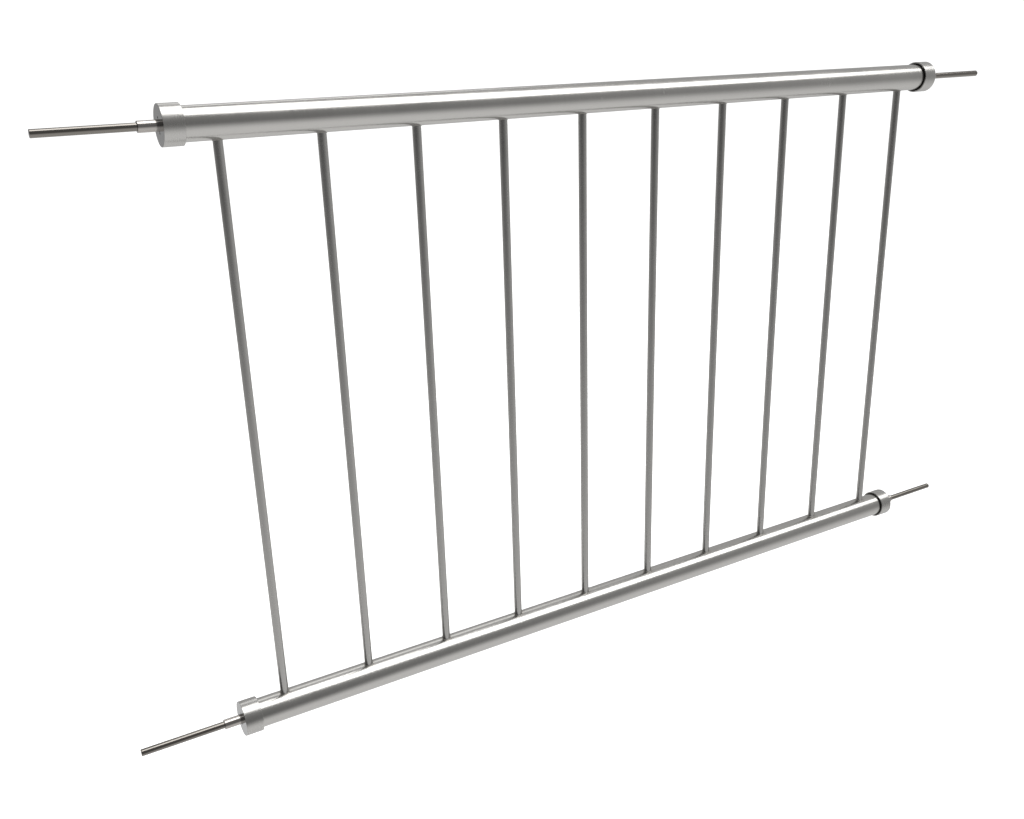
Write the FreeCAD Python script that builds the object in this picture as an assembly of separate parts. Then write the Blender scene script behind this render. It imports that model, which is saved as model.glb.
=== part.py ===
import FreeCAD, Part
import math
import os

# Stainless guard-rail panel for a window or door reveal.
# Two tube rails carry ten welded round bars. A cup slides and turns on each
# rail end, and an anchor pin slides out of the cup into a hole in the wall.
# X runs along the rails, Y is the depth and Z is up. The origin is the
# panel's centre. All sizes are in millimetres.

# Panel
bar_count = 10
bar_diameter = 12.0
bar_gap = 120.0
clear_height = 780.0
bar_plug_depth = 1.8
weld_leg = 2.0
weld_toe = 0.3

# Rail tube
rail_diameter = 42.4
rail_wall = 2.0

# Wall cup
cup_length = 25.0
cup_floor = 5.0
cup_wall = 2.0
cup_edge = 0.6
spanner_hole_diameter = 3.2
spanner_hole_spread = 17.8
spanner_hole_depth = 3.0

# Guide ring between the rail and the cup
ring_wall = 1.6
ring_length = 10.0
ring_recess = 3.0
rib_height = 0.6
rib_width = 2.0

# Guide sleeve pressed into the floor of the cup
sleeve_diameter = 14.0
sleeve_reach = 25.0
sleeve_edge = 0.5
flange_diameter = 20.0
flange_thickness = 2.0

# Anchor pin
pin_diameter = 10.0
pin_length = 160.0
pin_reach = 115.0
pin_edge = 0.8
mark_width = 1.0
mark_depth = 0.3
mark_sink = 0.2

# Stop collar and its screw
collar_diameter = 20.0
collar_width = 10.0
collar_edge = 0.5
screw_diameter = 5.0
screw_sink = 0.4
socket_width = 2.5
socket_depth = 2.0

# Clearances, each on the radius or on one side
ring_clearance = 0.1
pin_clearance = 0.05
stop_clearance = 0.2
rail_end_clearance = 5.0

# Sizes that follow from the ones above
rail_radius = rail_diameter / 2
bar_radius = bar_diameter / 2
bar_pitch = bar_diameter + bar_gap
face_distance = bar_count * bar_pitch / 2
rail_height = (clear_height + rail_diameter) / 2
bar_half_length = clear_height / 2 + bar_plug_depth

ring_inner_radius = rail_radius + ring_clearance
ring_outer_radius = ring_inner_radius + ring_wall
cup_bore_radius = ring_outer_radius + ring_clearance
cup_radius = cup_bore_radius + cup_wall

mouth_distance = face_distance - cup_length
floor_distance = face_distance - cup_floor
rail_end_distance = floor_distance - rail_end_clearance
ring_start = mouth_distance + ring_recess
rib_start = ring_start + (ring_length - rib_width) / 2

sleeve_radius = sleeve_diameter / 2
sleeve_end = face_distance + sleeve_reach
flange_start = floor_distance - flange_thickness

pin_radius = pin_diameter / 2
pin_tip = sleeve_end + pin_reach
pin_tail = pin_tip - pin_length
mark_start = sleeve_end - mark_sink
collar_radius = collar_diameter / 2
collar_end = flange_start - stop_clearance
collar_start = collar_end - collar_width

along_x = FreeCAD.Vector(1, 0, 0)
upward = FreeCAD.Vector(0, 0, 1)
downward = FreeCAD.Vector(0, 0, -1)
centre = FreeCAD.Vector(0, 0, 0)


def save(name, shape):
    """Write one named piece, after checking that it is sound."""
    if not shape.isValid():
        raise ValueError("piece is not valid: " + name)
    shape.exportStep("parts/" + name + ".step")


def round_x(start, end, radius):
    """A round solid about the X axis."""
    base = FreeCAD.Vector(start, 0, 0)
    return Part.makeCylinder(radius, end - start, base, along_x)


def tube_x(start, end, outer, inner):
    """A tube about the X axis."""
    return round_x(start, end, outer).cut(round_x(start, end, inner))


def cone_x(start, end, start_radius, end_radius):
    """A cone about the X axis."""
    base = FreeCAD.Vector(start, 0, 0)
    return Part.makeCone(start_radius, end_radius, end - start, base, along_x)


def bar_positions():
    """Places of the bars along the rails, from left to right."""
    first = -(bar_count - 1) * bar_pitch / 2
    return [first + bar_pitch * index for index in range(bar_count)]


def make_rail():
    """Rail about its own axis, with a hole for each bar in its underside."""
    rail = tube_x(
        -rail_end_distance,
        rail_end_distance,
        rail_radius,
        rail_radius - rail_wall,
    )
    for place in bar_positions():
        base = FreeCAD.Vector(place, 0, 0)
        hole = Part.makeCylinder(bar_radius, rail_diameter, base, downward)
        rail = rail.cut(hole)
    return rail


def make_bar():
    """Upright bar centred on the origin."""
    base = FreeCAD.Vector(0, 0, -bar_half_length)
    return Part.makeCylinder(bar_radius, 2 * bar_half_length, base, upward)


def make_weld():
    """Weld bead round the top end of a bar, under a rail on the X axis."""
    bead_radius = bar_radius + weld_leg
    toe_radius = bar_radius + weld_toe
    saddle = rail_radius - math.sqrt(rail_radius ** 2 - bead_radius ** 2)
    crown = FreeCAD.Vector(0, 0, -rail_radius)
    collar_height = saddle + weld_toe
    collar = Part.makeCylinder(bead_radius, collar_height, crown, upward)
    taper = Part.makeCone(bead_radius, toe_radius, weld_leg, crown, downward)
    bead = collar.fuse(taper).removeSplitter()
    bead = bead.cut(round_x(-rail_diameter, rail_diameter, rail_radius))
    bar = Part.makeCylinder(bar_radius, rail_diameter, centre, downward)
    return bead.cut(bar)


def make_cup():
    """Right-hand wall cup, open towards the panel."""
    body = round_x(mouth_distance, face_distance - cup_edge, cup_radius)
    rim = cone_x(
        face_distance - cup_edge,
        face_distance,
        cup_radius,
        cup_radius - cup_edge,
    )
    cup = body.fuse(rim)
    cup = cup.cut(round_x(mouth_distance, floor_distance, cup_bore_radius))
    groove = round_x(
        rib_start - ring_clearance,
        rib_start + rib_width + ring_clearance,
        cup_bore_radius + rib_height,
    )
    cup = cup.cut(groove)
    cup = cup.cut(round_x(floor_distance, face_distance, sleeve_radius))
    for side in (-1, 1):
        base = FreeCAD.Vector(
            face_distance - spanner_hole_depth,
            0,
            side * spanner_hole_spread / 2,
        )
        hole = Part.makeCylinder(
            spanner_hole_diameter / 2, spanner_hole_depth, base, along_x
        )
        cup = cup.cut(hole)
    return cup.removeSplitter()


def make_ring():
    """Guide ring with a rib that snaps into the groove of the cup."""
    ring = round_x(ring_start, ring_start + ring_length, ring_outer_radius)
    rib = round_x(rib_start, rib_start + rib_width, ring_outer_radius + rib_height)
    bore = round_x(ring_start, ring_start + ring_length, ring_inner_radius)
    return ring.fuse(rib).cut(bore).removeSplitter()


def make_sleeve():
    """Flanged sleeve that guides the pin."""
    flange = round_x(flange_start, floor_distance, flange_diameter / 2)
    barrel = round_x(floor_distance, sleeve_end - sleeve_edge, sleeve_radius)
    rim = cone_x(
        sleeve_end - sleeve_edge,
        sleeve_end,
        sleeve_radius,
        sleeve_radius - sleeve_edge,
    )
    bore = round_x(flange_start, sleeve_end, pin_radius + pin_clearance)
    return flange.fuse(barrel).fuse(rim).cut(bore).removeSplitter()


def make_pin():
    """Pin with a turned mark at the sleeve, which shows that it is right out."""
    shaft = round_x(pin_tail + pin_edge, pin_tip - pin_edge, pin_radius)
    tip = cone_x(
        pin_tip - pin_edge, pin_tip, pin_radius, pin_radius - pin_edge
    )
    tail = cone_x(
        pin_tail, pin_tail + pin_edge, pin_radius - pin_edge, pin_radius
    )
    pin = shaft.fuse(tip).fuse(tail).removeSplitter()
    mark = tube_x(
        mark_start, mark_start + mark_width, pin_diameter, pin_radius - mark_depth
    )
    return pin.cut(mark)


def make_collar():
    """Stop collar on the inner end of the pin, with a screw hole on top."""
    middle = round_x(
        collar_start + collar_edge, collar_end - collar_edge, collar_radius
    )
    front = cone_x(
        collar_end - collar_edge,
        collar_end,
        collar_radius,
        collar_radius - collar_edge,
    )
    back = cone_x(
        collar_start,
        collar_start + collar_edge,
        collar_radius - collar_edge,
        collar_radius,
    )
    collar = middle.fuse(front).fuse(back)
    collar = collar.cut(round_x(collar_start, collar_end, pin_radius))
    base = FreeCAD.Vector(collar_start + collar_width / 2, 0, 0)
    hole = Part.makeCylinder(screw_diameter / 2, collar_diameter, base, upward)
    return collar.cut(hole).removeSplitter()


def make_screw():
    """Headless screw with a hexagon socket, resting on the pin."""
    middle = collar_start + collar_width / 2
    foot = FreeCAD.Vector(middle, 0, pin_radius)
    length = collar_radius - screw_sink - pin_radius
    screw = Part.makeCylinder(screw_diameter / 2, length, foot, upward)
    across_corners = socket_width / math.sqrt(3)
    floor = pin_radius + length - socket_depth
    corners = []
    for step in range(7):
        angle = math.radians(60 * step)
        corner = FreeCAD.Vector(
            middle + across_corners * math.cos(angle),
            across_corners * math.sin(angle),
            floor,
        )
        corners.append(corner)
    outline = Part.Face(Part.makePolygon(corners))
    socket = outline.extrude(FreeCAD.Vector(0, 0, socket_depth))
    return screw.cut(socket)


def place(shape, turn, height):
    """Copy of a piece, turned about Z and lifted to the height of a rail."""
    copy = shape.copy()
    copy.rotate(centre, upward, turn)
    copy.translate(FreeCAD.Vector(0, 0, height))
    return copy


def flip(shape):
    """Copy of a piece turned upside down about the X axis."""
    copy = shape.copy()
    copy.rotate(centre, along_x, 180)
    return copy


os.makedirs("parts", exist_ok=True)

# Rails, bars and welds
rail = make_rail()
save("top_rail", place(rail, 0, rail_height))
save("bottom_rail", place(flip(rail), 0, -rail_height))

bar = make_bar()
for number, position in enumerate(bar_positions(), start=1):
    upright = bar.copy()
    upright.translate(FreeCAD.Vector(position, 0, 0))
    save("bar_%02d" % number, upright)

weld = make_weld()
top_welds = []
bottom_welds = []
for position in bar_positions():
    top_weld = place(weld, 0, rail_height)
    top_weld.translate(FreeCAD.Vector(position, 0, 0))
    top_welds.append(top_weld)
    bottom_weld = place(flip(weld), 0, -rail_height)
    bottom_weld.translate(FreeCAD.Vector(position, 0, 0))
    bottom_welds.append(bottom_weld)
save("top_weld_beads", Part.makeCompound(top_welds))
save("bottom_weld_beads", Part.makeCompound(bottom_welds))

# End fittings, the same at every corner
fitting = {
    "wall_cup": make_cup(),
    "guide_ring": make_ring(),
    "guide_sleeve": make_sleeve(),
    "anchor_pin": make_pin(),
    "stop_collar": make_collar(),
    "collar_screw": make_screw(),
}
for side, turn in (("left", 180), ("right", 0)):
    for level, height in (("top", rail_height), ("bottom", -rail_height)):
        for piece, shape in fitting.items():
            name = level + "_" + side + "_" + piece
            save(name, place(shape, turn, height))
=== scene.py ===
from math import atan2, pi, radians, sin, sqrt
import bpy
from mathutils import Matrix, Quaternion, Vector


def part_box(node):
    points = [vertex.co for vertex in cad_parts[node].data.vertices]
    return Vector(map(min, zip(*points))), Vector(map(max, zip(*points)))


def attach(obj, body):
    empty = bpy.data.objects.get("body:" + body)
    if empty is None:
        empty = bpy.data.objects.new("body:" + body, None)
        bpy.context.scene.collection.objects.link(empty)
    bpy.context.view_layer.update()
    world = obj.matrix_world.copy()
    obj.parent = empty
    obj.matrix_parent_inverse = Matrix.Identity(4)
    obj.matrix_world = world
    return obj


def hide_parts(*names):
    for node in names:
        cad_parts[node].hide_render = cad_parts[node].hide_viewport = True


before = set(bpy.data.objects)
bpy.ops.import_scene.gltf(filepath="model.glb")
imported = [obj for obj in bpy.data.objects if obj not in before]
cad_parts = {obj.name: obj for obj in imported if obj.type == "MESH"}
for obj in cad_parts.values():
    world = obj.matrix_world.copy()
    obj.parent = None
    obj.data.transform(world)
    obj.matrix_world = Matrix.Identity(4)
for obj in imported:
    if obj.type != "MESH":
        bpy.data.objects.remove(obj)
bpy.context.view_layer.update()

# ---------------------------------------------------------------------------
# Rails: two lengths of stainless handrail tube, 42.4 mm with a 2 mm wall. The
# tube is cut square and its edges are broken, then it is ground with a belt
# that runs round it, so the fine scratches go round and not along.
rail_radius = 0.0212
rail_wall = 0.002
rail_edge = 0.0003
rail_colour = (0.455, 0.447, 0.43)
# painted shade: a brownish darker patch on each rail round the foot of every bar,
# where the bar meets the rail; its colour, and the distances from the bar's axis where
# it is full and where it ends
heat_tint_colour = (0.34, 0.315, 0.28, 1)
heat_tint_inner = 0.007
heat_tint_outer = 0.013
bar_spacing = 0.132


def start_round(name, radius, start, end, height, corners=128):
    """Round solid along X between two places, at its final place."""
    bpy.ops.object.select_all(action="DESELECT")
    bpy.ops.mesh.primitive_cylinder_add(
        vertices=corners,
        radius=radius,
        depth=abs(end - start),
        location=((start + end) / 2, 0, height),
        rotation=(0, pi / 2, 0),
    )
    piece = bpy.context.object
    piece.name = name
    piece.data.name = name
    bpy.ops.object.transform_apply(location=True, rotation=True, scale=True)
    return piece


def pick_faces(piece, wanted):
    """Go to edit mode with just the wanted faces of a piece selected."""
    bpy.ops.object.mode_set(mode="EDIT")
    bpy.ops.mesh.select_mode(type="FACE")
    bpy.ops.mesh.select_all(action="DESELECT")
    bpy.ops.object.mode_set(mode="OBJECT")
    for face in piece.data.polygons:
        face.select = wanted(face.center, face.normal)
    bpy.ops.object.mode_set(mode="EDIT")


def bore_through(piece, rim):
    """Join the two end faces by a round hole that leaves a rim of this width."""
    pick_faces(piece, lambda place, way: abs(way.x) > 0.99)
    bpy.ops.mesh.inset(thickness=rim)
    bpy.ops.mesh.bridge_edge_loops()
    bpy.ops.object.mode_set(mode="OBJECT")


def raise_band(piece, start, end, radius, height):
    """Raise, or with a negative height sink, a band round a piece along X."""
    on_radius = 0.0002
    bpy.ops.object.mode_set(mode="EDIT")
    for place in (start, end):
        bpy.ops.mesh.select_all(action="SELECT")
        bpy.ops.mesh.bisect(plane_co=(place, 0, 0), plane_no=(1, 0, 0))
    bpy.ops.object.mode_set(mode="OBJECT")
    pick_faces(
        piece,
        lambda place, out: start < place.x < end
        and abs(out.x) < 0.01
        and abs(sqrt(place.y ** 2 + place.z ** 2) - radius) < on_radius,
    )
    bpy.ops.mesh.extrude_region_shrink_fatten(
        TRANSFORM_OT_shrink_fatten={"value": height}
    )
    bpy.ops.object.mode_set(mode="OBJECT")


def shade_true(piece):
    """Turn all faces outwards, and shade smoothly but true on the large faces."""
    bpy.ops.object.mode_set(mode="EDIT")
    bpy.ops.mesh.select_all(action="SELECT")
    bpy.ops.mesh.normals_make_consistent(inside=False)
    bpy.ops.object.mode_set(mode="OBJECT")
    bpy.ops.object.shade_smooth_by_angle(angle=radians(35))
    true_faces = piece.modifiers.new("true_faces", "WEIGHTED_NORMAL")
    true_faces.keep_sharp = True
    bpy.ops.object.modifier_apply(modifier=true_faces.name)


def break_edges(piece, width, steps=3):
    """Round every sharp edge a little."""
    edges = piece.modifiers.new("broken_edges", "BEVEL")
    edges.width = width
    edges.segments = steps
    edges.limit_method = "ANGLE"
    edges.angle_limit = radians(40)
    bpy.ops.object.modifier_apply(modifier=edges.name)


def steel(
    name, colour, roughness, grain, scratch, smear=0.05, edge=0.8, lines=0.5
):
    """Stainless steel with scratches, drifting tone and handling marks.

    Grain is how fine the scratches are along each axis, scratch their depth,
    smear how far the roughness drifts, edge how bright the steel stays at a
    grazing look, and lines the scratches' share in the tone.
    """
    darkest, lightest = 0.9, 1.08
    material = bpy.data.materials.new(name)
    material.use_nodes = True
    tree = material.node_tree
    shader = tree.nodes["Principled BSDF"]
    shader.inputs["Metallic"].default_value = 1.0
    shader.inputs["Specular Tint"].default_value = (edge, edge, edge, 1)
    place = tree.nodes.new("ShaderNodeTexCoord")
    # fine scratches, drawn out along the grain
    stretch = tree.nodes.new("ShaderNodeMapping")
    stretch.inputs["Scale"].default_value = grain
    tree.links.new(place.outputs["Object"], stretch.inputs["Vector"])
    scratches = tree.nodes.new("ShaderNodeTexNoise")
    scratches.inputs["Scale"].default_value = 1.0
    scratches.inputs["Detail"].default_value = 6.0
    scratches.inputs["Roughness"].default_value = 0.65
    tree.links.new(stretch.outputs["Vector"], scratches.inputs["Vector"])
    # slow drift of tone and soft smears from hands and packing
    drift = tree.nodes.new("ShaderNodeTexNoise")
    drift.inputs["Scale"].default_value = 14.0
    drift.inputs["Detail"].default_value = 5.0
    drift.inputs["Roughness"].default_value = 0.6
    tree.links.new(place.outputs["Object"], drift.inputs["Vector"])
    tone = tree.nodes.new("ShaderNodeMix")
    tone.data_type = "RGBA"
    tone.inputs["A"].default_value = [darkest * part for part in colour] + [1]
    tone.inputs["B"].default_value = [lightest * part for part in colour] + [1]
    wear = tree.nodes.new("ShaderNodeMath")
    wear.operation = "MULTIPLY_ADD"
    wear.inputs[1].default_value = lines
    tree.links.new(scratches.outputs["Fac"], wear.inputs[0])
    drift_share = tree.nodes.new("ShaderNodeMath")
    drift_share.operation = "MULTIPLY"
    drift_share.inputs[1].default_value = 1 - lines
    tree.links.new(drift.outputs["Fac"], drift_share.inputs[0])
    tree.links.new(drift_share.outputs["Value"], wear.inputs[2])
    tree.links.new(wear.outputs["Value"], tone.inputs["Factor"])
    tree.links.new(tone.outputs["Result"], shader.inputs["Base Color"])
    dull = tree.nodes.new("ShaderNodeMapRange")
    dull.inputs["From Min"].default_value = 0.3
    dull.inputs["From Max"].default_value = 0.7
    dull.inputs["To Min"].default_value = roughness - smear
    dull.inputs["To Max"].default_value = roughness + smear
    tree.links.new(wear.outputs["Value"], dull.inputs["Value"])
    tree.links.new(dull.outputs["Result"], shader.inputs["Roughness"])
    bump = tree.nodes.new("ShaderNodeBump")
    bump.inputs["Strength"].default_value = 0.35
    bump.inputs["Distance"].default_value = scratch
    tree.links.new(scratches.outputs["Fac"], bump.inputs["Height"])
    tree.links.new(bump.outputs["Normal"], shader.inputs["Normal"])
    return material


def tint_near_welds(material):
    """Painted shade on a rail: a brownish darker patch round the foot of each bar."""
    # the patch fades out between these heights, on the side away from the bars
    tint_full_height, tint_end_height = 0.396, 0.404
    tint_strength = 0.3
    tree = material.node_tree
    shader = tree.nodes["Principled BSDF"]
    tone = shader.inputs["Base Color"].links[0].from_socket
    place = tree.nodes.new("ShaderNodeTexCoord")
    parts = tree.nodes.new("ShaderNodeSeparateXYZ")
    tree.links.new(place.outputs["Object"], parts.inputs["Vector"])
    # distance along the rail to the nearest bar
    fold = tree.nodes.new("ShaderNodeMath")
    fold.operation = "PINGPONG"
    fold.inputs[1].default_value = bar_spacing / 2
    tree.links.new(parts.outputs["X"], fold.inputs[0])
    away = tree.nodes.new("ShaderNodeMath")
    away.operation = "SUBTRACT"
    away.inputs[0].default_value = bar_spacing / 2
    tree.links.new(fold.outputs["Value"], away.inputs[1])
    across = tree.nodes.new("ShaderNodeCombineXYZ")
    tree.links.new(away.outputs["Value"], across.inputs["X"])
    tree.links.new(parts.outputs["Y"], across.inputs["Y"])
    distance = tree.nodes.new("ShaderNodeVectorMath")
    distance.operation = "LENGTH"
    tree.links.new(across.outputs["Vector"], distance.inputs[0])
    patch = tree.nodes.new("ShaderNodeMapRange")
    patch.interpolation_type = "SMOOTHSTEP"
    patch.inputs["From Min"].default_value = heat_tint_outer
    patch.inputs["From Max"].default_value = heat_tint_inner
    tree.links.new(distance.outputs["Value"], patch.inputs["Value"])
    # only the side that faces the bars
    height = tree.nodes.new("ShaderNodeMath")
    height.operation = "ABSOLUTE"
    tree.links.new(parts.outputs["Z"], height.inputs[0])
    facing = tree.nodes.new("ShaderNodeMapRange")
    facing.interpolation_type = "SMOOTHSTEP"
    facing.inputs["From Min"].default_value = tint_end_height
    facing.inputs["From Max"].default_value = tint_full_height
    tree.links.new(height.outputs["Value"], facing.inputs["Value"])
    both = tree.nodes.new("ShaderNodeMath")
    both.operation = "MULTIPLY"
    tree.links.new(patch.outputs["Result"], both.inputs[0])
    tree.links.new(facing.outputs["Result"], both.inputs[1])
    soften = tree.nodes.new("ShaderNodeMath")
    soften.operation = "MULTIPLY"
    soften.inputs[1].default_value = tint_strength
    tree.links.new(both.outputs["Value"], soften.inputs[0])
    # painted shade: the rail's colour is darkened towards the brownish shade colour
    # inside the patch
    blend = tree.nodes.new("ShaderNodeMix")
    blend.data_type = "RGBA"
    blend.inputs["B"].default_value = heat_tint_colour
    tree.links.new(soften.outputs["Value"], blend.inputs["Factor"])
    tree.links.new(tone, blend.inputs["A"])
    tree.links.new(blend.outputs["Result"], shader.inputs["Base Color"])


def copied(pattern, name, place, turn=(0, 0, 0)):
    """A copy of a finished piece with its own mesh, turned and put in place."""
    bpy.ops.object.select_all(action="DESELECT")
    pattern.select_set(True)
    bpy.context.view_layer.objects.active = pattern
    bpy.ops.object.duplicate(linked=False)
    piece = bpy.context.object
    piece.name = name
    piece.data.name = name
    piece.location = place
    piece.rotation_euler = turn
    bpy.ops.object.transform_apply(location=True, rotation=True, scale=True)
    return piece


rail_steel = steel(
    "ground_rail_steel",
    rail_colour,
    roughness=0.23,
    grain=(900, 30, 30),
    scratch=0.00002,
)
# paint a brownish shade on the rail round the foot of each bar
tint_near_welds(rail_steel)
low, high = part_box("top_rail")
rail_tube = start_round("rail_tube", rail_radius, low.x, high.x, 0)
bore_through(rail_tube, rail_wall)
break_edges(rail_tube, rail_edge)
shade_true(rail_tube)
rail_tube.data.materials.append(rail_steel)
rail_heights = {}
for level in ("top", "bottom"):
    node = level + "_rail"
    low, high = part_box(node)
    rail_heights[level] = (low.z + high.z) / 2
    rail = copied(rail_tube, node + "_tube", (0, 0, rail_heights[level]))
    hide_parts(node)
    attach(rail, "frame")
bpy.data.objects.remove(rail_tube)

# ---------------------------------------------------------------------------
# Bars: ten round bright-drawn stainless bars, 12 mm thick. Each is sawn to
# length, its ends are eased, and they are pushed into holes in the two rails.
# Drawing through the die leaves fine lines along the bar.
bar_count = 10
bar_radius = 0.006
bar_edge = 0.0004
bar_steel = steel(
    "drawn_bar_steel",
    (0.42, 0.413, 0.40),
    roughness=0.26,
    grain=(160, 160, 9),
    scratch=0.00002,
)
low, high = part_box("bar_01")
bpy.ops.object.select_all(action="DESELECT")
bpy.ops.mesh.primitive_cylinder_add(
    vertices=64, radius=bar_radius, depth=high.z - low.z, location=(0, 0, 0)
)
round_bar = bpy.context.object
break_edges(round_bar, bar_edge)
shade_true(round_bar)
round_bar.data.materials.append(bar_steel)
bar_places = []
for number in range(1, bar_count + 1):
    node = "bar_%02d" % number
    low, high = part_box(node)
    bar_places.append((low.x + high.x) / 2)
    middle = (bar_places[-1], 0, (low.z + high.z) / 2)
    bar = copied(round_bar, node + "_round", middle)
    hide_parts(node)
    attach(bar, "frame")
bpy.data.objects.remove(round_bar)

# ---------------------------------------------------------------------------
# Weld beads: a narrow fillet weld round the foot of every bar, laid in short
# overlapping drops and then pickled, so it is duller than the tube. It
# follows the saddle where the round bar meets the round rail.
bead_centre_radius = 0.0062
bead_thickness = 0.0007
bead_sink = 0.0002
drops_round_bar = 22
drop_swell = 0.09
weld_steel = steel(
    "pickled_weld_steel",
    (0.27, 0.26, 0.245),
    roughness=0.36,
    grain=(500, 500, 500),
    scratch=0.00005,
)
bpy.ops.object.select_all(action="DESELECT")
bpy.ops.mesh.primitive_torus_add(
    major_segments=110,
    minor_segments=12,
    major_radius=bead_centre_radius,
    minor_radius=bead_thickness,
)
one_bead = bpy.context.object
for point in one_bead.data.vertices:
    around = Vector((point.co.x, point.co.y, 0)).normalized()
    angle = atan2(around.y, around.x)
    wave = 1 + drop_swell * abs(sin(drops_round_bar * angle / 2))
    hub = around * bead_centre_radius
    point.co = hub + (point.co - hub) * wave
    point.co.z -= sqrt(rail_radius ** 2 - point.co.y ** 2) - bead_sink
bpy.ops.object.mode_set(mode="EDIT")
bpy.ops.mesh.select_all(action="SELECT")
bpy.ops.mesh.normals_make_consistent(inside=False)
bpy.ops.object.mode_set(mode="OBJECT")
bpy.ops.object.shade_smooth()
one_bead.data.materials.append(weld_steel)
# under the top rail as modelled, and turned over on the bottom rail
for level, turn in (("top", 0), ("bottom", pi)):
    rings = []
    for place in bar_places:
        spot = (place, 0, rail_heights[level])
        rings.append(copied(one_bead, level + "_weld_rings", spot, (turn, 0, 0)))
    for ring in rings:
        ring.select_set(True)
    bpy.context.view_layer.objects.active = rings[0]
    bpy.ops.object.join()
    beads = bpy.context.object
    beads.name = level + "_weld_rings"
    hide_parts(level + "_weld_beads")
    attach(beads, "frame")
bpy.data.objects.remove(one_bead)

# ---------------------------------------------------------------------------
# Wall cups: turned from solid bar, 50 mm across and 25 mm long, with a 2 mm
# skirt that hides the sawn rail end and a 5 mm floor. The turning tool leaves
# fine rings, and two small blind holes in the outer face take a pin spanner.
cup_radius = 0.025
cup_skirt = 0.002
cup_floor = 0.005
cup_hole_radius = 0.007
cup_edge = 0.0004
groove_clearance = 0.0001
near_axis = 0.0001
spanner_hole_radius = 0.0016
spanner_hole_height = 0.0089
spanner_hole_depth = 0.003
rib_height = 0.0006
rib_width = 0.002
low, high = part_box("top_right_guide_ring")
rib_start = (low.x + high.x - rib_width) / 2
rib_end = rib_start + rib_width
cup_steel = steel(
    "turned_cup_steel",
    (0.44, 0.433, 0.418),
    roughness=0.28,
    grain=(3600, 24, 24),
    scratch=0.0000025,
    lines=0.3,
)
face_steel = steel(
    "faced_cup_steel",
    (0.33, 0.328, 0.326),
    roughness=0.11,
    grain=(60, 1100, 1100),
    scratch=0.000001,
    smear=0.03,
)
low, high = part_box("top_right_wall_cup")
mouth, face = low.x, high.x
turned_cup = start_round("turned_cup", cup_radius, mouth, face, 0)
# hollow the cup from its mouth down to the floor
pick_faces(turned_cup, lambda place, out: out.x < -0.99)
bpy.ops.mesh.inset(thickness=cup_skirt)
depth = face - mouth - cup_floor
bpy.ops.mesh.extrude_region_move(TRANSFORM_OT_translate={"value": (depth, 0, 0)})
# hole through the floor for the sleeve
bpy.ops.mesh.inset(thickness=cup_radius - cup_skirt - cup_hole_radius)
bpy.ops.object.mode_set(mode="OBJECT")
pick_faces(turned_cup, lambda place, out: out.x > 0.99)
bpy.ops.mesh.inset(thickness=cup_radius - cup_hole_radius)
bpy.ops.object.mode_set(mode="OBJECT")
pick_faces(
    turned_cup,
    lambda place, out: abs(out.x) > 0.99 and abs(place.z) < near_axis,
)
bpy.ops.mesh.bridge_edge_loops()
bpy.ops.object.mode_set(mode="OBJECT")
# groove inside the skirt for the guide ring's rib
raise_band(
    turned_cup,
    rib_start - groove_clearance,
    rib_end + groove_clearance,
    cup_radius - cup_skirt,
    -rib_height,
)
break_edges(turned_cup, cup_edge)
turned_cup.data.materials.append(cup_steel)
# the outer face is faced with a finer feed, so it mirrors the sleeve
turned_cup.data.materials.append(face_steel)
for side in turned_cup.data.polygons:
    if side.normal.x > 0.99:
        side.material_index = 1
# spanner holes, one above and one below the sleeve, left rough; their insides are
# painted near black as painted shade
hole_steel = steel(
    "drilled_hole_steel",
    (0.03, 0.03, 0.03),
    roughness=0.5,
    grain=(600, 600, 600),
    scratch=0.00003,
)
drill_overrun = 0.001
for end in (-1, 1):
    drill = start_round(
        "drill",
        spanner_hole_radius,
        face - spanner_hole_depth,
        face + drill_overrun,
        end * spanner_hole_height,
        corners=32,
    )
    drill.data.materials.append(hole_steel)
    cut = turned_cup.modifiers.new("spanner_hole", "BOOLEAN")
    cut.operation = "DIFFERENCE"
    cut.solver = "EXACT"
    cut.material_mode = "TRANSFER"
    cut.object = drill
    bpy.ops.object.select_all(action="DESELECT")
    turned_cup.select_set(True)
    bpy.context.view_layer.objects.active = turned_cup
    bpy.ops.object.modifier_apply(modifier=cut.name)
    bpy.data.objects.remove(drill)
shade_true(turned_cup)
# the four corners of the panel, and how far a right-hand piece turns to fit
corners = []
for level in ("top", "bottom"):
    for side, turn in (("left", pi), ("right", 0)):
        corners.append((level + "_" + side, (0, 0, rail_heights[level]), (0, 0, turn)))
for corner, place, turn in corners:
    node = corner + "_wall_cup"
    cup = copied(turned_cup, node + "_turned", place, turn)
    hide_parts(node)
    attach(cup, corner + "_cup")
bpy.data.objects.remove(turned_cup)

# ---------------------------------------------------------------------------
# Guide rings: black nylon, moulded, 10 mm long. A ring sits just inside each
# cup's mouth and runs on the rail, so the cup can turn and slide on it.
ring_radius = 0.0229
ring_wall = 0.0016
ring_edge = 0.0003
nylon = bpy.data.materials.new("black_nylon")
nylon.use_nodes = True
tree = nylon.node_tree
shader = tree.nodes["Principled BSDF"]
shader.inputs["Specular IOR Level"].default_value = 0.35
place = tree.nodes.new("ShaderNodeTexCoord")
speck = tree.nodes.new("ShaderNodeTexNoise")
speck.inputs["Scale"].default_value = 900.0
speck.inputs["Detail"].default_value = 4.0
tree.links.new(place.outputs["Object"], speck.inputs["Vector"])
shade = tree.nodes.new("ShaderNodeMix")
shade.data_type = "RGBA"
shade.inputs["A"].default_value = (0.008, 0.008, 0.009, 1)
shade.inputs["B"].default_value = (0.02, 0.02, 0.021, 1)
tree.links.new(speck.outputs["Fac"], shade.inputs["Factor"])
tree.links.new(shade.outputs["Result"], shader.inputs["Base Color"])
dull = tree.nodes.new("ShaderNodeMapRange")
dull.inputs["To Min"].default_value = 0.5
dull.inputs["To Max"].default_value = 0.75
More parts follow.
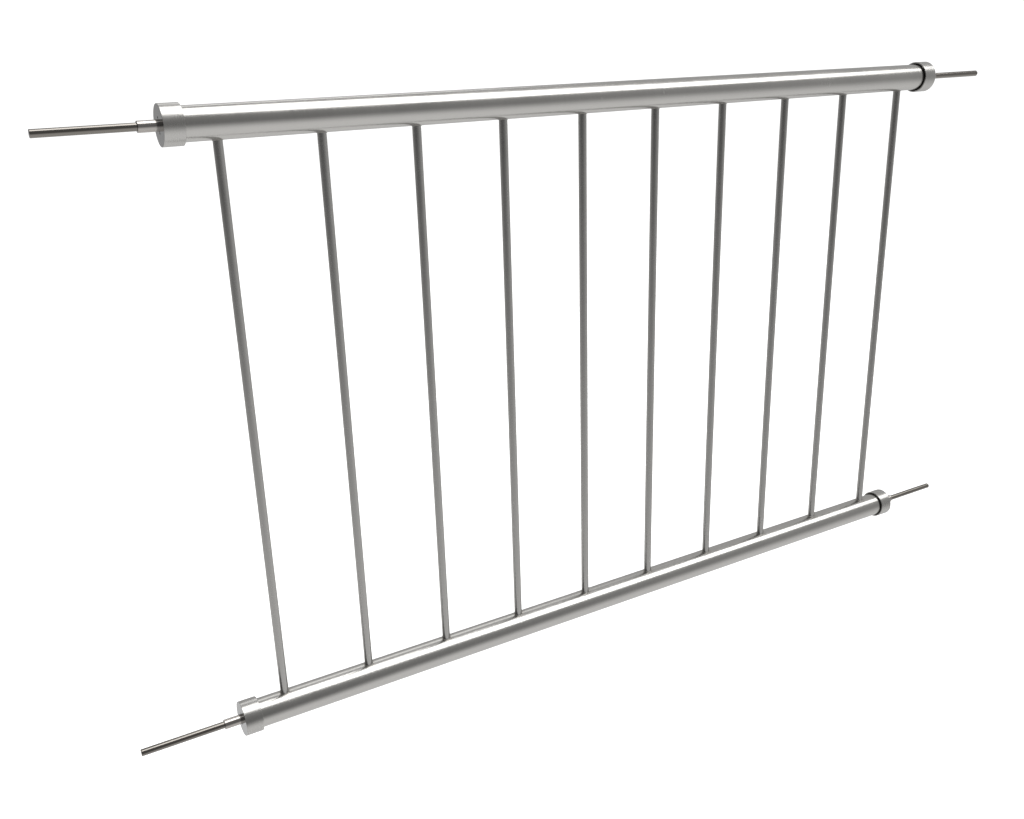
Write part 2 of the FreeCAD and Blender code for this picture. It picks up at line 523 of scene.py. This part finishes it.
tree.links.new(speck.outputs["Fac"], dull.inputs["Value"])
tree.links.new(dull.outputs["Result"], shader.inputs["Roughness"])
bump = tree.nodes.new("ShaderNodeBump")
bump.inputs["Strength"].default_value = 0.3
bump.inputs["Distance"].default_value = 0.00003
tree.links.new(speck.outputs["Fac"], bump.inputs["Height"])
tree.links.new(bump.outputs["Normal"], shader.inputs["Normal"])
low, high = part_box("top_right_guide_ring")
moulded_ring = start_round("moulded_ring", ring_radius, low.x, high.x, 0)
bore_through(moulded_ring, ring_wall)
raise_band(moulded_ring, rib_start, rib_end, ring_radius, rib_height)
break_edges(moulded_ring, ring_edge)
shade_true(moulded_ring)
moulded_ring.data.materials.append(nylon)
for corner, place, turn in corners:
    node = corner + "_guide_ring"
    ring = copied(moulded_ring, node + "_moulded", place, turn)
    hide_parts(node)
    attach(ring, corner + "_slider")
bpy.data.objects.remove(moulded_ring)

# ---------------------------------------------------------------------------
# Guide sleeves: turned stainless, 14 mm across with a 20 mm flange. Each is
# pressed through the cup's floor from inside, stands 25 mm out of the cup and
# guides the anchor pin. The turned surface is brighter than the cup.
sleeve_radius = 0.007
flange_radius = 0.010
flange_thickness = 0.002
sleeve_bore_radius = 0.00505
sleeve_edge = 0.0004
sleeve_steel = steel(
    "turned_sleeve_steel",
    (0.385, 0.365, 0.345),
    roughness=0.14,
    grain=(1500, 40, 40),
    scratch=0.00001,
)
low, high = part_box("top_right_guide_sleeve")
floor_side = low.x + flange_thickness
sleeve_mouth = high.x
turned_sleeve = start_round(
    "turned_sleeve", flange_radius, low.x, floor_side, 0, corners=96
)
pick_faces(turned_sleeve, lambda place, out: out.x > 0.99)
bpy.ops.mesh.inset(thickness=flange_radius - sleeve_radius)
barrel = sleeve_mouth - floor_side
bpy.ops.mesh.extrude_region_move(TRANSFORM_OT_translate={"value": (barrel, 0, 0)})
bpy.ops.mesh.inset(thickness=sleeve_radius - sleeve_bore_radius)
bpy.ops.object.mode_set(mode="OBJECT")
pick_faces(turned_sleeve, lambda place, out: out.x < -0.99)
bpy.ops.mesh.inset(thickness=flange_radius - sleeve_bore_radius)
bpy.ops.object.mode_set(mode="OBJECT")
pick_faces(
    turned_sleeve,
    lambda place, out: abs(out.x) > 0.99 and abs(place.z) < near_axis,
)
bpy.ops.mesh.bridge_edge_loops()
bpy.ops.object.mode_set(mode="OBJECT")
break_edges(turned_sleeve, sleeve_edge)
shade_true(turned_sleeve)
turned_sleeve.data.materials.append(sleeve_steel)
for corner, place, turn in corners:
    node = corner + "_guide_sleeve"
    sleeve = copied(turned_sleeve, node + "_turned", place, turn)
    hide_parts(node)
    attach(sleeve, corner + "_cup")
bpy.data.objects.remove(turned_sleeve)

# ---------------------------------------------------------------------------
# Anchor pins: bright ground stainless pins, 10 by 160 mm, with eased ends.
# A pin slides out through the sleeve into the wall. A narrow turned mark at
# the sleeve's mouth shows that it is right out.
pin_radius = 0.005
mark_depth = 0.0003
mark_width = 0.001
mark_sink = 0.0002
pin_ease = 0.0008
pin_end = 0.0002
pin_steel = steel(
    "bright_pin_steel",
    (0.205, 0.192, 0.175),
    roughness=0.10,
    grain=(1800, 60, 60),
    scratch=0.000006,
    smear=0.03,
    edge=1.0,
)
low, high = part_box("top_right_anchor_pin")
tail, tip = low.x, high.x
mark_start = sleeve_mouth - mark_sink
ground_pin = start_round("ground_pin", pin_radius, tail, mark_start, 0, corners=96)
pick_faces(ground_pin, lambda place, out: out.x > 0.99)
bpy.ops.mesh.inset(thickness=mark_depth)
bpy.ops.mesh.extrude_region_move(TRANSFORM_OT_translate={"value": (mark_width, 0, 0)})
bpy.ops.mesh.extrude_region_move(TRANSFORM_OT_translate={"value": (0, 0, 0)})
grow = pin_radius / (pin_radius - mark_depth)
bpy.ops.transform.resize(value=(1, grow, grow), center_override=(mark_start, 0, 0))
past_mark = tip - mark_start - mark_width
bpy.ops.mesh.extrude_region_move(TRANSFORM_OT_translate={"value": (past_mark, 0, 0)})
bpy.ops.object.mode_set(mode="OBJECT")
# ease both ends
pick_faces(
    ground_pin,
    lambda place, out: abs(out.x) > 0.99
    and (place.x > tip - pin_end or place.x < tail + pin_end),
)
bpy.ops.mesh.region_to_loop()
bpy.ops.mesh.bevel(offset=pin_ease, segments=4)
bpy.ops.object.mode_set(mode="OBJECT")
shade_true(ground_pin)
ground_pin.data.materials.append(pin_steel)
for corner, place, turn in corners:
    node = corner + "_anchor_pin"
    pin = copied(ground_pin, node + "_ground", place, turn)
    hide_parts(node)
    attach(pin, corner + "_pin")
bpy.data.objects.remove(ground_pin)

# ---------------------------------------------------------------------------
# Stop collars and their screws: a standard turned collar, 20 by 10 mm, held
# on the inner end of each pin by a headless screw. It stops the pin from
# leaving the sleeve. Both stay as the CAD made them, with a finish.
collar_steel = steel(
    "plain_collar_steel",
    (0.40, 0.395, 0.385),
    roughness=0.22,
    grain=(1200, 50, 50),
    scratch=0.00002,
)
screw_steel = steel(
    "dark_screw_steel",
    (0.16, 0.16, 0.165),
    roughness=0.34,
    grain=(300, 300, 1500),
    scratch=0.00003,
)
finishes = {"stop_collar": collar_steel, "collar_screw": screw_steel}
for corner, place, turn in corners:
    for piece, material in finishes.items():
        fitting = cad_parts[corner + "_" + piece]
        fitting.data.materials.clear()
        fitting.data.materials.append(material)

# ---------------------------------------------------------------------------
# Studio: a plain white floor well below the panel, two large soft lights side
# by side overhead, a weaker one behind, and a pale room. In the steel the room
# shows darker at the front left and white below, and the floor doesn't show.
floor_height = -1.0
room_light = 1.15
mirrored_bright_way = (0.766, 0.643, 0.0)
mirrored_wall_dark = 0.07
mirrored_wall_bright = 0.62
mirrored_ground = 1.05
bpy.ops.object.select_all(action="DESELECT")
bpy.ops.mesh.primitive_plane_add(size=24, location=(0, 4, floor_height))
floor = bpy.context.object
floor.name = "studio_floor"
floor.visible_glossy = False
paint = bpy.data.materials.new("white_floor_paint")
paint.use_nodes = True
tree = paint.node_tree
shader = tree.nodes["Principled BSDF"]
shader.inputs["Roughness"].default_value = 0.9
shader.inputs["Specular IOR Level"].default_value = 0.1
place = tree.nodes.new("ShaderNodeTexCoord")
patches = tree.nodes.new("ShaderNodeTexNoise")
patches.inputs["Scale"].default_value = 3.0
tree.links.new(place.outputs["Object"], patches.inputs["Vector"])
shade = tree.nodes.new("ShaderNodeMix")
shade.data_type = "RGBA"
shade.inputs["A"].default_value = (0.90, 0.90, 0.90, 1)
shade.inputs["B"].default_value = (0.92, 0.92, 0.92, 1)
tree.links.new(patches.outputs["Fac"], shade.inputs["Factor"])
tree.links.new(shade.outputs["Result"], shader.inputs["Base Color"])
floor.data.materials.append(paint)

# each light: name, place, turn about the vertical, length, width, brightness
for name, place, turn, long, wide, glow in (
    ("left_softbox", (1.67, -1.28, 6.6), -42, 6.2, 4.45, 3.7),
    ("right_softbox", (6.05, -3.3, 6.6), 0, 5.9, 4.9, 3.7),
    ("back_softbox", (2.9, 7.9, 6.6), 0, 5.2, 4.6, 1.15),
):
    softbox = bpy.data.lights.new(name, "AREA")
    softbox.shape = "RECTANGLE"
    softbox.size = long
    softbox.size_y = wide
    softbox.energy = pi * glow * long * wide
    softbox_stand = bpy.data.objects.new(name, softbox)
    softbox_stand.location = place
    softbox_stand.rotation_euler = (0, 0, radians(turn))
    bpy.context.scene.collection.objects.link(softbox_stand)

world = bpy.data.worlds.new("pale_room")
bpy.context.scene.world = world
world.use_nodes = True
tree = world.node_tree
background = tree.nodes["Background"]
way_out = tree.nodes.new("ShaderNodeTexCoord")
bright_side = tree.nodes.new("ShaderNodeVectorMath")
bright_side.operation = "DOT_PRODUCT"
bright_side.inputs[1].default_value = mirrored_bright_way
tree.links.new(way_out.outputs["Generated"], bright_side.inputs[0])
walls = tree.nodes.new("ShaderNodeMapRange")
walls.inputs["From Min"].default_value = -1.0
walls.inputs["From Max"].default_value = 0.7
walls.inputs["To Min"].default_value = mirrored_wall_dark
walls.inputs["To Max"].default_value = mirrored_wall_bright
tree.links.new(bright_side.outputs["Value"], walls.inputs["Value"])
parts = tree.nodes.new("ShaderNodeSeparateXYZ")
tree.links.new(way_out.outputs["Generated"], parts.inputs["Vector"])
ground = tree.nodes.new("ShaderNodeMapRange")
ground.interpolation_type = "SMOOTHSTEP"
ground.inputs["From Min"].default_value = 0.03
ground.inputs["From Max"].default_value = -0.78
tree.links.new(parts.outputs["Z"], ground.inputs["Value"])
room = tree.nodes.new("ShaderNodeMix")
room.inputs["B"].default_value = mirrored_ground
tree.links.new(ground.outputs["Result"], room.inputs["Factor"])
tree.links.new(walls.outputs["Result"], room.inputs["A"])
seen = tree.nodes.new("ShaderNodeLightPath")
strength = tree.nodes.new("ShaderNodeMix")
strength.inputs["A"].default_value = room_light
tree.links.new(seen.outputs["Is Glossy Ray"], strength.inputs["Factor"])
tree.links.new(room.outputs["Result"], strength.inputs["B"])
tree.links.new(strength.outputs["Result"], background.inputs["Strength"])
background.inputs["Color"].default_value = (1, 1, 1, 1)

# Camera: at the viewer's left, a little above the top rail, looking slightly
# down at the panel.
camera_place = Vector((-0.932415, -1.278819, 0.493148))
camera_aim = Vector((-0.1979, 0, -0.0357))
camera_roll = radians(-1.757)
camera = bpy.data.cameras.new("camera")
camera.sensor_width = 36
camera.lens = 36.229
camera.clip_start = 0.01
tripod = bpy.data.objects.new("camera", camera)
tripod.location = camera_place
looking = (camera_aim - camera_place).to_track_quat("-Z", "Y")
tripod.rotation_euler = (looking @ Quaternion((0, 0, 1), camera_roll)).to_euler()
bpy.context.scene.collection.objects.link(tripod)
bpy.context.scene.camera = tripod
bpy.context.scene.view_settings.view_transform = "Standard"
